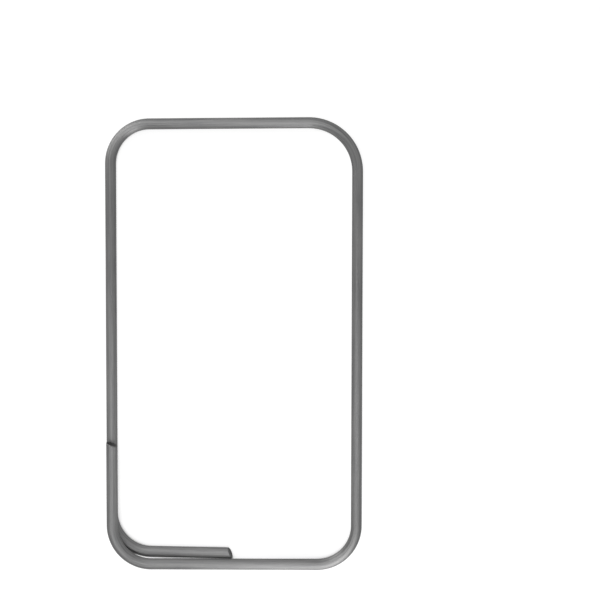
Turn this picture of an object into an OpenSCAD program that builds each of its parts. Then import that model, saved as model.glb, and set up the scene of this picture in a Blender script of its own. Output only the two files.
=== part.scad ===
// Closed rebar stirrup: one plain round bar, bent cold into a rectangular
// loop and closed at one corner by a pair of overlapping 90 degree hooks.
// All lengths are in millimetres, all angles in degrees.
//
// The loop lies flat on Z = 0, with X across its width, Y along its height
// and the middle of the loop over the origin. The legs, the far run and the
// lower hook lie on the floor. The upper hook lies on top of the left leg,
// so the near run climbs by one bar from the right leg to that hook, and the
// end of the lower hook is tucked in beside and a little under that run.

/* [Bar] */
// Diameter of the round bar
bar_d = 10; // [6:0.5:16]
// Slant of the two sheared ends, away from a square cut
shear_angle = 23; // [0:1:30]

/* [Loop] */
// Width of the loop, outside to outside
loop_w = 240; // [200:5:600]
// Height of the loop, outside to outside
loop_h = 420; // [300:5:900]
// Inside radius of the bends
bend_r = 31.5; // [12:0.5:36]
// Inside radius of the wider bend, diagonally across from the hooks
wide_bend_r = 40; // [12:0.5:60]

/* [Hooks] */
// Length of each hook, from the outside of its bend to the middle of its end
hook_l = 117; // [80:1:140]
// How far the upper hook lies inside the leg that it rides on
hook_inset = 2.5; // [0:0.5:4]
// Height of the gap between the upper hook and that leg
hook_lift = 0.2; // [0.1:0.1:2]
// Gap between the tip of the lower hook and the near run, the shortest way
hook_gap = 0.2; // [0.1:0.1:3]

/* [Hidden] */

$fn = 48;

// Radius of the bar, which is also how high its middle line lies
bar_r = bar_d / 2;

// Radii of the bends, measured to the middle line of the bar
small_r = bend_r + bar_r;
wide_r = wide_bend_r + bar_r;

// Middle lines of the four sides of the loop
left_x = -loop_w / 2 + bar_r;
right_x = loop_w / 2 - bar_r;
near_y = -loop_h / 2 + bar_r;
far_y = loop_h / 2 - bar_r;

// Middle line of the upper hook
upper_hook_x = left_x + hook_inset;

// Heights of the middle line, on the floor and in the upper hook
low_z = bar_r;
high_z = low_z + bar_d + hook_lift;

// Rise, slope and length of the near run, bends included. The cosine of the
// slope and the length are cut to round figures, so that the tipped lengths
// of bar meet the flat ones exactly.
climb = high_z - low_z;
near_span = right_x - upper_hook_x;
climb_cos = floor(1000000 * cos(atan2(climb, near_span))) / 1000000;
climb_angle = acos(climb_cos);
near_l = floor(100 * near_span / climb_cos) / 100;

// Middle line of the lower hook. Above its tip the near run has risen by
// tip_rise, and the hook lies far enough beside that run, seen from above, to
// keep the gap there. The distance is cut to a round figure too.
tip_x = left_x - bar_r + hook_l + bar_r * tan(shear_angle);
tip_rise = climb_cos * climb * (right_x - tip_x) / near_span;
tuck = sqrt(max(0, pow(bar_d + hook_gap, 2) - pow(tip_rise, 2)));
lower_hook_y = near_y + ceil(100 * tuck) / 100;

// Straight lengths of the two hooks beyond their bends
hook_run = hook_l - bar_r - small_r;

// A straight length of bar that starts at the origin and runs along +Y
module run(length) {
    rotate([-90, 0, 0])
        cylinder(r = bar_r, h = length);
}

// A run whose far end is sheared on a slant, longer on its -X side. `length`
// is measured along the middle line.
module sheared_run(length) {
    spare = 2 * bar_d;
    difference() {
        run(length + spare);
        translate([0, length, 0])
            rotate([0, 0, -shear_angle])
                translate([-spare, 0, -bar_d])
                    cube([2 * spare, 2 * spare, 2 * bar_d]);
    }
}

// A quarter bend of radius r, flat in the XY plane. It leaves the origin
// along +Y and ends at [r, r], where it runs along +X.
module bend(r) {
    translate([r, 0, 0])
        rotate([0, 0, 90])
            rotate_extrude(angle = 90)
                translate([r, 0])
                    circle(r = bar_r);
}

// The left leg, with the lower hook at its near end
module left_leg() {
    leg_start = lower_hook_y + small_r;
    translate([left_x, leg_start, low_z])
        run(far_y - small_r - leg_start);
    translate([left_x + small_r, lower_hook_y, low_z])
        rotate([0, 0, 90])
            bend(small_r);
    translate([left_x + small_r, lower_hook_y, low_z])
        mirror([1, 0, 0])
            rotate([0, 0, 90])
                sheared_run(hook_run);
}

// The far run and the bends at both of its ends
module far_run() {
    translate([left_x, far_y - small_r, low_z])
        bend(small_r);
    translate([left_x + small_r, far_y, low_z])
        rotate([0, 0, -90])
            run(right_x - left_x - small_r - wide_r);
    translate([right_x - wide_r, far_y, low_z])
        rotate([0, 0, -90])
            bend(wide_r);
}

// The right leg
module right_leg() {
    translate([right_x, near_y + small_r, low_z])
        run(far_y - near_y - small_r - wide_r);
}

// The near run, its two bends and the upper hook. They share one plane,
// which is tipped about the middle line of the right leg.
module near_run() {
    translate([right_x, near_y + small_r, low_z])
        rotate([0, climb_angle, 0]) {
            rotate([0, 0, 180])
                bend(small_r);
            translate([small_r - near_l, -small_r, 0])
                rotate([0, 0, -90])
                    run(near_l - 2 * small_r);
            translate([small_r - near_l, -small_r, 0])
                rotate([0, 0, 90])
                    bend(small_r);
            translate([-near_l, 0, 0])
                sheared_run(hook_run);
        }
}

// The whole bar, from one sheared end to the other
module stirrup() {
    color([0.53, 0.53, 0.54])
        union() {
            left_leg();
            far_run();
            right_leg();
            near_run();
        }
}

stirrup();
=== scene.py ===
import math

import bpy
import numpy as np
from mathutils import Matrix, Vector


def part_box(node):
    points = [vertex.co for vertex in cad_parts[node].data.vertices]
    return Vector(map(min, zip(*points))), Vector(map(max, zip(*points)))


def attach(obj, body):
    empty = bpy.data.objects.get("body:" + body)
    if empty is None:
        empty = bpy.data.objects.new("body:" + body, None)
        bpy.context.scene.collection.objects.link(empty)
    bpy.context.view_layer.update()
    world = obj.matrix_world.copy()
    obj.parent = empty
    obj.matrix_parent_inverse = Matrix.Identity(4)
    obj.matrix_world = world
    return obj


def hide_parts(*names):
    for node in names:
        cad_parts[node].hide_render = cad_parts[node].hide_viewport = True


# A closed rebar stirrup: one round steel bar, bent cold five times into a loop
# whose two hooks overlap at one corner. Lengths are metres in the row frame,
# with X across the loop, Y along it and Z up from the floor that it lies on.

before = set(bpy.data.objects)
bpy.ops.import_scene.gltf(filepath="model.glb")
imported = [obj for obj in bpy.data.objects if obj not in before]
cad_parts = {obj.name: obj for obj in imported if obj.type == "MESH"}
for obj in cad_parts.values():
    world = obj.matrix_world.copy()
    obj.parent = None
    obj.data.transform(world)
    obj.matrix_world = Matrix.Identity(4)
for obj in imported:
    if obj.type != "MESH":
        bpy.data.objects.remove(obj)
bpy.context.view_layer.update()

# ---------------------------------------------------------------- the bar's sizes

BAR_D = 0.010                    # diameter of the bar
BEND_R = 0.0315                  # inside radius of four of the bends
WIDE_BEND_R = 0.040              # inside radius of the far right bend
HOOK_L = 0.117                   # each hook, from the outside of its bend to the middle of its end
HOOK_INSET = 0.0025              # how far the upper hook lies inside the left leg
HOOK_GAP = 0.0002                # gap between the tip of the lower hook and the near run
SHEAR_ANGLE = math.radians(23)   # slant of the sheared ends

low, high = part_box("stirrup")
HALF_PI = math.pi / 2
BAR_R = BAR_D / 2
SMALL_R = BEND_R + BAR_R         # radii of the bends, to the middle line
WIDE_R = WIDE_BEND_R + BAR_R
LEFT_X, RIGHT_X = low.x + BAR_R, high.x - BAR_R
NEAR_Y, FAR_Y = low.y + BAR_R, high.y - BAR_R
LOW_Z, HIGH_Z = low.z + BAR_R, high.z - BAR_R
UPPER_HOOK_X = LEFT_X + HOOK_INSET
HOOK_RUN = HOOK_L - BAR_R - SMALL_R
CLIMB = math.atan2(HIGH_Z - LOW_Z, RIGHT_X - UPPER_HOOK_X)
NEAR_L = (RIGHT_X - UPPER_HOOK_X) / math.cos(CLIMB)
TIP_X = LEFT_X - BAR_R + HOOK_L + BAR_R * math.tan(SHEAR_ANGLE)
TIP_RISE = (RIGHT_X - TIP_X) * math.sin(CLIMB)          # of the near run, past that tip
LOWER_HOOK_Y = NEAR_Y + math.sqrt((BAR_D + HOOK_GAP) ** 2 - TIP_RISE ** 2)

# The bar from the end of the lower hook to the end of the upper one. Each piece is
# its length and the radius of its right-hand quarter turn, or None on a straight.
PIECES = [
    (HOOK_RUN, None),                                  # lower hook
    (HALF_PI * SMALL_R, SMALL_R),
    (FAR_Y - LOWER_HOOK_Y - 2 * SMALL_R, None),        # left leg
    (HALF_PI * SMALL_R, SMALL_R),
    (RIGHT_X - LEFT_X - SMALL_R - WIDE_R, None),       # far run
    (HALF_PI * WIDE_R, WIDE_R),
    (FAR_Y - NEAR_Y - SMALL_R - WIDE_R, None),         # right leg
    (HALF_PI * SMALL_R, SMALL_R),
    (NEAR_L - 2 * SMALL_R, None),                      # near run, which climbs
    (HALF_PI * SMALL_R, SMALL_R),
    (HOOK_RUN, None),                                  # upper hook
]
RIGHT_LEG = 6
STARTS = np.concatenate([[0.0], np.cumsum([length for length, _ in PIECES])])
BAR_L = STARTS[-1]

SIDES = 64                       # points round the bar
RING_STEP = 0.002                # between the rings of its side
FACE_RINGS, RIM_RINGS = 14, 6    # rings on each end face and on its rounded rim


# ---------------------------------------------------------------- the bent bar


def soft_step(t):
    """0 before t = 0, 1 after t = 1, and t squared times (3 - 2 t) between them."""
    t = np.clip(t, 0, 1)
    return t * t * (3 - 2 * t)


def middle_line(s):
    """The middle line of the bar at lengths s from its first end: points, and the directions
    out of the loop and up.

    Each piece adds its own travel up to s. A straight adds its length along the heading h.
    A right-hand bend of radius r that has turned by a adds r (sin h - sin(h - a)) in X and
    r (cos(h - a) - cos h) in Y. Past the right leg the line is tipped about that leg by the
    climb, and the up direction leans over by as much on the way along the leg.
    """
    x = np.full_like(s, LEFT_X + SMALL_R + HOOK_RUN)
    y = np.full_like(s, LOWER_HOOK_Y)
    heading = np.full_like(s, math.pi)
    h = math.pi
    for start, (length, r) in zip(STARTS, PIECES):
        first, last = start == 0, start + length >= BAR_L
        done = np.clip(s - start, -math.inf if first else 0, math.inf if last else length)
        if r is None:
            x += done * math.cos(h)
            y += done * math.sin(h)
        else:
            a = done / r
            x += r * (math.sin(h) - np.sin(h - a))
            y += r * (np.cos(h - a) - math.cos(h))
            heading -= a
            h -= HALF_PI
    leg_start, leg_end = STARTS[RIGHT_LEG], STARTS[RIGHT_LEG + 1]
    tip = np.where(s > leg_end, CLIMB, 0.0)
    across = x - RIGHT_X
    points = np.stack([RIGHT_X + across * np.cos(tip), y, LOW_Z - across * np.sin(tip)], -1)
    ahead = np.stack([np.cos(heading) * np.cos(tip), np.sin(heading), -np.cos(heading) * np.sin(tip)], -1)
    lean = CLIMB * soft_step((s - leg_start) / (leg_end - leg_start))
    up = np.stack([np.sin(lean), np.zeros_like(s), np.cos(lean)], -1)
    return points, np.cross(up, ahead), up


def bent_share(s):
    """0 on the straights, rising as half a sine wave to 1 in the middle of each bend."""
    share = np.zeros_like(s)
    for start, (length, r) in zip(STARTS, PIECES):
        if r is not None:
            share += np.sin(math.pi * np.clip((s - start) / length, 0, 1))
    return share


def sheared_end(f):
    """One end of the bar, from near the middle of its face to the start of its side, at the
    angles f round the bar: how far out each point is, as a share of the bar's radius, its
    depth behind the face in metres, and how much it belongs to the face and to its torn part.

    The face is drawn as rings. Its lower part, where the bar tore, lies a little deeper, in
    two soft waves. The rim is a quarter circle, large on top, where the blade went in, and
    small below, where it left a low burr that stands out of the face.
    """
    small_rim, large_rim = 0.05, 0.17            # shares of the bar's radius
    first_ring = 0.06                            # share of the face's radius
    cut_down_to, tear_blend = 0.35, 0.5          # heights on the face, in radii of the bar
    torn_deep, wave_deep, burr_deep = 0.00022, 0.00005, 0.00030   # metres
    waves_up, waves_across = 9, 2                # radians for each radius of the bar
    top = 0.5 + 0.5 * np.sin(f)
    rim = small_rim + (large_rim - small_rim) * top ** 2
    rings = np.linspace(first_ring, 1, FACE_RINGS)[:, None]
    turns = np.linspace(0, HALF_PI, RIM_RINGS + 1)[1:, None]

    out = rings * (1 - rim)
    height = out * np.sin(f)
    torn = soft_step((cut_down_to - height) / tear_blend)
    inside_rim = 1 - rings ** 6
    burr = burr_deep * (1 - top) ** 3
    depth = torn_deep * torn * inside_rim
    depth = depth + wave_deep * np.sin(waves_up * height + waves_across * out * np.cos(f)) * inside_rim
    depth = depth - burr * rings ** 10

    rim_out = 1 - rim * (1 - np.sin(turns))
    rim_depth = BAR_R * rim * (1 - np.cos(turns)) - burr * np.cos(turns)
    rim_share = np.broadcast_to(np.cos(turns) ** 2, rim_out.shape)
    face = np.concatenate([np.ones_like(out), rim_share])
    torn = np.concatenate([torn, torn[-1] * rim_share])
    return np.concatenate([out, rim_out]), np.concatenate([depth, rim_depth]), face, torn


def bar_surface():
    """The whole bar as a grid of rings, closed by a point in the middle of each end face.

    A point at the angle f round the bar, from the loop's outside (f = 0) over the top, and
    at the length s, is the middle line at s plus the bar's radius times (cos f outwards +
    sin f upwards). A bend is a little flatter across the loop. Near an end s shifts towards
    that end by the point's distance out from the middle line times the tangent of the shear
    angle, and the shift fades out along the bar. The direction across the grain, which the
    gloss follows, runs round the bar on its side and straight across it on the end faces.
    The numbers say how much a point belongs to an end face, to its torn part, to a bend and,
    as the fourth power of cos f, to the two flanks of a bend, which the rolls rubbed.
    """
    flatter = 0.015              # of the radius, lost in the middle of a bend
    square_after = 0.014         # from an end to where the rings are square again
    clear = 0.0012               # where the side's own rings begin, behind the largest rim
    f = np.arange(SIDES) * (2 * math.pi / SIDES)
    out, depth, face, torn = sheared_end(f)
    side = np.linspace(clear, BAR_L - clear, int(BAR_L / RING_STEP))[:, None] + 0 * f

    s = np.concatenate([depth, side, BAR_L - depth[::-1]])
    out = np.concatenate([out, np.ones_like(side), out[::-1]])
    face = np.concatenate([face, np.zeros_like(side), face[::-1]])
    torn = np.concatenate([torn, np.zeros_like(side), torn[::-1]])
    from_start, from_finish = s, BAR_L - s
    slant = math.tan(SHEAR_ANGLE) * BAR_R * out * np.cos(f)
    shift = (1 - soft_step(from_finish / square_after)) - (1 - soft_step(from_start / square_after))
    s = s + slant * shift

    points, outside, up = middle_line(s)
    bent = bent_share(s)
    wide = BAR_R * out * np.cos(f) * (1 - flatter * bent)
    tall = BAR_R * out * np.sin(f)
    rings = points + wide[..., None] * outside + tall[..., None] * up
    around = np.cos(f)[:, None] * up - np.sin(f)[:, None] * outside
    above = np.sin(f) > 1e-6     # where "around" points inwards
    straight = np.where(above, -1.0, 1.0) * face
    across_grain = (1 - face)[..., None] * around + straight[..., None] * outside
    place = np.stack([wide, tall, s], -1)
    numbers = {"face": face, "torn": torn, "bent": bent, "rubbed": bent * np.cos(f) ** 4}
    return rings, {"across_grain": across_grain, "place": place}, numbers


def closed_grid_mesh(name, rings, vectors, numbers):
    """A mesh of quads between neighbouring rings, with a fan of triangles to the mean point of
    the first ring and of the last one. vectors and numbers become the mesh's attributes, and
    each end point takes the mean of its ring's values."""
    count, sides = rings.shape[:2]

    def with_ends(grid):
        flat = grid.reshape(count * sides, -1)
        return np.concatenate([flat, [flat[:sides].mean(0)], [flat[-sides:].mean(0)]])

    i, j = np.meshgrid(np.arange(count - 1), np.arange(sides), indexing="ij")
    k = (j + 1) % sides
    quads = np.stack([i * sides + j, i * sides + k, (i + 1) * sides + k, (i + 1) * sides + j], -1)
    j = np.arange(sides)
    k = (j + 1) % sides
    first, last, tail = count * sides, count * sides + 1, (count - 1) * sides
    starts = np.stack([np.full(sides, first), k, j], -1)
    ends = np.stack([np.full(sides, last), tail + j, tail + k], -1)

    mesh = bpy.data.meshes.new(name)
    faces = quads.reshape(-1, 4).tolist() + starts.tolist() + ends.tolist()
    mesh.from_pydata(with_ends(rings).tolist(), [], faces)
    for title, grid in vectors.items():
        layer = mesh.attributes.new(title, "FLOAT_VECTOR", "POINT")
        layer.data.foreach_set("vector", with_ends(grid).astype(np.float32).ravel())
    for title, grid in numbers.items():
        layer = mesh.attributes.new(title, "FLOAT", "POINT")
        layer.data.foreach_set("value", with_ends(grid).astype(np.float32).ravel())
    mesh.polygons.foreach_set("use_smooth", np.ones(len(faces), bool))
    mesh.update()
    piece = bpy.data.objects.new(name, mesh)
    bpy.context.scene.collection.objects.link(piece)
    return piece


# ---------------------------------------------------------------- materials

# Sizes of the steel's patches of noise: across the bar, from its underside to its top, along it.
STREAK_SIZE = (0.0016, 0.0016, 0.075)
LINE_SIZE = (0.00030, 0.00030, 0.018)
CLOUD_SIZE = (0.012, 0.012, 0.035)
DRAG_SIZE = (0.00018, 0.0025, 0.0025)
GRAIN_SIZE = (0.00022, 0.00022, 0.00022)
PITS_APART, PIT_SIZE = 0.0045, 0.0005
MARK_DEPTH = 0.000015            # of marks as strong as 1
DARKEST, PALEST = (0.106, 0.107, 0.109, 1), (0.220, 0.219, 0.217, 1)
SATIN = 0.45                     # the steel's mean roughness


def give(tree, socket, value):
    """Set a socket to a plain value, or link another node's output to it."""
    if isinstance(value, bpy.types.NodeSocket):
        tree.links.new(value, socket)
    else:
        socket.default_value = value


def worked(tree, operation, *values):
    """The output of a Math node of these values, each a number or another node's output."""
    node = tree.nodes.new("ShaderNodeMath")
    node.operation = operation
    for socket, value in zip(node.inputs, values):
        give(tree, socket, value)
    return node.outputs["Value"]


def added(tree, *values):
    """The sum of these numbers and outputs."""
    total = values[0]
    for value in values[1:]:
        total = worked(tree, "ADD", total, value)
    return total


def times(tree, *values):
    """The product of these numbers and outputs."""
    product = values[0]
    for value in values[1:]:
        product = worked(tree, "MULTIPLY", product, value)
    return product


def about_zero(tree, value, share):
    """The value less a half, times the share."""
    return worked(tree, "MULTIPLY_ADD", value, share, -0.5 * share)


def ranged(tree, value, start, end, at_start, at_end, way="LINEAR"):
    """at_start where the value is start or less, at_end where it is end or more, and in between
    a change from one to the other, in a straight line or as the way says."""
    node = tree.nodes.new("ShaderNodeMapRange")
    node.interpolation_type = way
    titles = ("Value", "From Min", "From Max", "To Min", "To Max")
    for title, setting in zip(titles, (value, start, end, at_start, at_end)):
        give(tree, node.inputs[title], setting)
    return node.outputs["Result"]


def from_mesh(tree, attribute, kind="Fac"):
    """One of the mesh's own numbers, or one of its vectors where the kind is Vector."""
    node = tree.nodes.new("ShaderNodeAttribute")
    node.attribute_name = attribute
    return node.outputs[kind]


def patches(tree, place, size, detail=2.0):
    """Soft noise from 0 to 1 on the bar's own place, in patches of this size in metres: across
    the bar, from its underside to its top, and along it."""
    wide, tall, long = size
    mapping = tree.nodes.new("ShaderNodeMapping")
    mapping.inputs["Scale"].default_value = (1 / wide, 1 / tall, 1 / long)
    noise = tree.nodes.new("ShaderNodeTexNoise")
    noise.inputs["Scale"].default_value = 1.0
    noise.inputs["Detail"].default_value = detail
    noise.inputs["Roughness"].default_value = 0.55
    tree.links.new(place, mapping.inputs["Vector"])
    tree.links.new(mapping.outputs["Vector"], noise.inputs["Vector"])
    return noise.outputs["Fac"]


def sparse_pits(tree, place, apart, size):
    """1 in the middle of small round pits about apart metres from each other, falling to 0 at
    size metres from there."""
    mapping = tree.nodes.new("ShaderNodeMapping")
    mapping.inputs["Scale"].default_value = (1 / apart, 1 / apart, 1 / apart)
    cells = tree.nodes.new("ShaderNodeTexVoronoi")
    cells.inputs["Scale"].default_value = 1.0
    tree.links.new(place, mapping.inputs["Vector"])
    tree.links.new(mapping.outputs["Vector"], cells.inputs["Vector"])
    return ranged(tree, cells.outputs["Distance"], 0.0, size / apart, 1.0, 0.0, "SMOOTHSTEP")


def drawn_steel():
    """Satin grey drawn steel. The die left streaks and fine lines along the bar, which stand out
    more where it was bent and its skin cracked. The stock has faint clouds and a few pits, and
    the bending rolls rubbed the bends a little smoother. The sheared ends have upright drag
    lines where the blade cut and a coarse grain where the bar tore. Each part of the pattern
    shifts shade, gloss and height by a little."""
    material = bpy.data.materials.new("drawn_steel")
    material.use_nodes = True
    tree = material.node_tree
    shader = tree.nodes["Principled BSDF"]
    place = from_mesh(tree, "place", "Vector")
    face, torn = from_mesh(tree, "face"), from_mesh(tree, "torn")
    bent, rubbed = from_mesh(tree, "bent"), from_mesh(tree, "rubbed")
    side, cut = worked(tree, "SUBTRACT", 1.0, face), worked(tree, "SUBTRACT", 1.0, torn)

    streaks = patches(tree, place, STREAK_SIZE, 3.0)
    lines = patches(tree, place, LINE_SIZE)
    clouds = patches(tree, place, CLOUD_SIZE)
    pits = sparse_pits(tree, place, PITS_APART, PIT_SIZE)
    drag = patches(tree, place, DRAG_SIZE)
    grain = patches(tree, place, GRAIN_SIZE, 4.0)

    # The bare numbers say how much of each pattern goes into the shade, the gloss or the height.
    stronger_in_bends = worked(tree, "MULTIPLY_ADD", bent, 0.8, 1.0)
    drawn = added(tree, about_zero(tree, streaks, 1.5), about_zero(tree, lines, 0.5))
    side_shade = added(
        tree,
        times(tree, drawn, stronger_in_bends),
        about_zero(tree, clouds, 0.5),
        times(tree, pits, -0.30),
        times(tree, rubbed, 0.10),
    )
    face_shade = added(
        tree,
        times(tree, about_zero(tree, drag, 0.5), cut),
        times(tree, about_zero(tree, grain, 0.9), torn),
        0.12,
    )
    shade = added(tree, 0.5, times(tree, side_shade, side), times(tree, face_shade, face))
    tones = tree.nodes.new("ShaderNodeValToRGB")
    tones.color_ramp.elements[0].color = DARKEST
    tones.color_ramp.elements[1].color = PALEST
    tree.links.new(shade, tones.inputs["Fac"])
    tree.links.new(tones.outputs["Color"], shader.inputs["Base Color"])

    side_gloss = added(
        tree,
        SATIN,
        about_zero(tree, streaks, 0.25),
        about_zero(tree, clouds, 0.15),
        times(tree, pits, 0.20),
        times(tree, rubbed, -0.04),
    )
    face_gloss = worked(tree, "MULTIPLY_ADD", torn, 0.20, SATIN)
    gloss = added(tree, times(tree, side_gloss, side), times(tree, face_gloss, face))
    tree.links.new(gloss, shader.inputs["Roughness"])

    side_height = added(tree, times(tree, streaks, 0.8), times(tree, lines, 0.5), times(tree, pits, -0.8))
    face_height = added(tree, times(tree, drag, cut, 0.8), times(tree, grain, torn, 3.5))
    height = added(tree, times(tree, side_height, side), times(tree, face_height, face))
    bump = tree.nodes.new("ShaderNodeBump")
    bump.inputs["Strength"].default_value = 1.0
    bump.inputs["Distance"].default_value = MARK_DEPTH
    tree.links.new(height, bump.inputs["Height"])
    tree.links.new(bump.outputs["Normal"], shader.inputs["Normal"])

    tree.links.new(from_mesh(tree, "across_grain", "Vector"), shader.inputs["Tangent"])
    shader.inputs["Metallic"].default_value = 0.8
    shader.inputs["Specular IOR Level"].default_value = 0.0
    shader.inputs["Specular Tint"].default_value = (0.5, 0.5, 0.5, 1)
    shader.inputs["Anisotropic"].default_value = 0.85
    return material


bar = closed_grid_mesh("bent_bar", *bar_surface())
bar.data.materials.append(drawn_steel())
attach(bar, "root")
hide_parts("stirrup")

# ---------------------------------------------------------------- floor, light and camera

AMBIENT = 0.02                   # strength of the even light from all sides
FLOOR_HALF = 4.0                 # half the side of the square floor
FLOOR_DIM = 0.15                 # its grey as it lights the bar
FLOOR_PALE = 0.28                # its grey to the eye, to which the glow is added
FLOOR_GLOW = 0.86                # near the bar
LIT_UP_TO, WHITE_FROM = 0.4, 1.2  # distances from the middle between which the glow grows to 1
SKY_REACH = 0.03                 # how near a thing has to be to hide the sky from the floor
SKY_SHUT, SKY_OPEN = 0.20, 0.45  # shares of free sky where the glow is out and where it is full
SOFTBOX_WIDTH = 0.7              # of its distance


def background_rays(tree):
    """A socket that is 1 for rays that look at the background, straight or by a reflection,
    and 0 for rays that only gather light from it."""
    path = tree.nodes.new("ShaderNodeLightPath")
    looks = path.outputs["Is Camera Ray"]
    for other in ("Is Glossy Ray", "Is Transmission Ray"):
        looks = worked(tree, "MAXIMUM", looks, path.outputs[other])
    return looks


def white_floor():
    """A plain pale floor. To the eye it glows a little, so that it is white where the lamps
    reach it and keeps a soft shadow, and it gives the bar above it only a dim light. The glow
    dies away where the bar hides most of the sky: under the bar and in the narrow gap between
    two lengths of it. It grows to full white far out, where the lamps no longer reach."""
    material = bpy.data.materials.new("white_floor")
    material.use_nodes = True
    tree = material.node_tree
    tree.nodes.clear()
    place = tree.nodes.new("ShaderNodeTexCoord")
    from_middle = tree.nodes.new("ShaderNodeVectorMath")
    from_middle.operation = "LENGTH"
    tree.links.new(place.outputs["Object"], from_middle.inputs[0])
    full_glow = ranged(tree, from_middle.outputs["Value"], LIT_UP_TO, WHITE_FROM, FLOOR_GLOW, 1.0)
    # Painted shade: ambient occlusion dims the floor's glow under the bar and in the narrow gap between
    # two lengths of it, as a painted contact shadow.
    free_sky = tree.nodes.new("ShaderNodeAmbientOcclusion")
    free_sky.inputs["Distance"].default_value = SKY_REACH
    glow = tree.nodes.new("ShaderNodeEmission")
    strength = ranged(tree, free_sky.outputs["AO"], SKY_SHUT, SKY_OPEN, 0.0, full_glow)
    tree.links.new(strength, glow.inputs["Strength"])

    def matt(grey):
        """A plain grey paint."""
        paint = tree.nodes.new("ShaderNodeBsdfDiffuse")
        paint.inputs["Color"].default_value = (grey, grey, grey, 1)
        return paint.outputs["BSDF"]

    seen = tree.nodes.new("ShaderNodeAddShader")
    tree.links.new(matt(FLOOR_PALE), seen.inputs[0])
    tree.links.new(glow.outputs["Emission"], seen.inputs[1])
    mix = tree.nodes.new("ShaderNodeMixShader")
    tree.links.new(background_rays(tree), mix.inputs["Fac"])
    tree.links.new(matt(FLOOR_DIM), mix.inputs[1])
    tree.links.new(seen.outputs["Shader"], mix.inputs[2])
    out = tree.nodes.new("ShaderNodeOutputMaterial")
    tree.links.new(mix.outputs["Shader"], out.inputs["Surface"])

    h = FLOOR_HALF
    mesh = bpy.data.meshes.new("floor")
    mesh.from_pydata([(-h, -h, 0), (h, -h, 0), (h, h, 0), (-h, h, 0)], [], [(0, 1, 2, 3)])
    mesh.materials.append(material)
    floor = bpy.data.objects.new("floor", mesh)
    bpy.context.scene.collection.objects.link(floor)


def white_studio():
    """White walls to the eye, which give the bar only a faint, even light."""
    world = bpy.data.worlds.new("white_studio")
    world.use_nodes = True
    bpy.context.scene.world = world
    tree = world.node_tree
    walls = tree.nodes["Background"]
    walls.inputs["Color"].default_value = (1, 1, 1, 1)
    tree.links.new(ranged(tree, background_rays(tree), 0.0, 1.0, AMBIENT, 1.0), walls.inputs["Strength"])


def softbox(name, elevation, direction, distance, level):
    """A round softbox that looks at the middle of the loop from this elevation and compass
    direction, both in degrees, with the direction counted from +X towards +Y. Level is the
    light that it alone gives a surface facing it, where 1 shows white as white: the energy
    for that is pi squared times the distance squared.
    """
    lamp = bpy.data.lights.new(name, "AREA")
    lamp.shape = "DISK"
    lamp.size = SOFTBOX_WIDTH * distance
    lamp.energy = level * (math.pi * distance) ** 2
    up, turn = math.radians(elevation), math.radians(direction)
    holder = bpy.data.objects.new(name, lamp)
    bpy.context.scene.collection.objects.link(holder)
    holder.location = (
        distance * math.cos(up) * math.cos(turn),
        distance * math.cos(up) * math.sin(turn),
        distance * math.sin(up),
    )
    holder.rotation_euler = (HALF_PI - up, 0, turn + HALF_PI)
    holder.visible_camera = False


def camera_above():
    """The camera above the loop, looking down and turned a few degrees off the vertical."""
    lens = bpy.data.cameras.new("camera")
    lens.lens = 50
    camera = bpy.data.objects.new("camera", lens)
    bpy.context.scene.collection.objects.link(camera)
    camera.location = (0.1009, 0.0662, 0.7760)
    camera.rotation_euler = [math.radians(angle) for angle in (-1.81, 2.88, 0.088)]
    bpy.context.scene.camera = camera


white_floor()
white_studio()
# Name, elevation, direction, distance and level.
softbox("overhead_softbox", 75, 270, 1.1, 0.31)
softbox("near_softbox", 28, 285, 0.70, 0.63)
softbox("far_softbox", 45, 105, 1.1, 0.21)
softbox("low_far_softbox", 28, 135, 1.1, 0.39)
camera_above()
bpy.context.scene.view_settings.view_transform = "Standard"
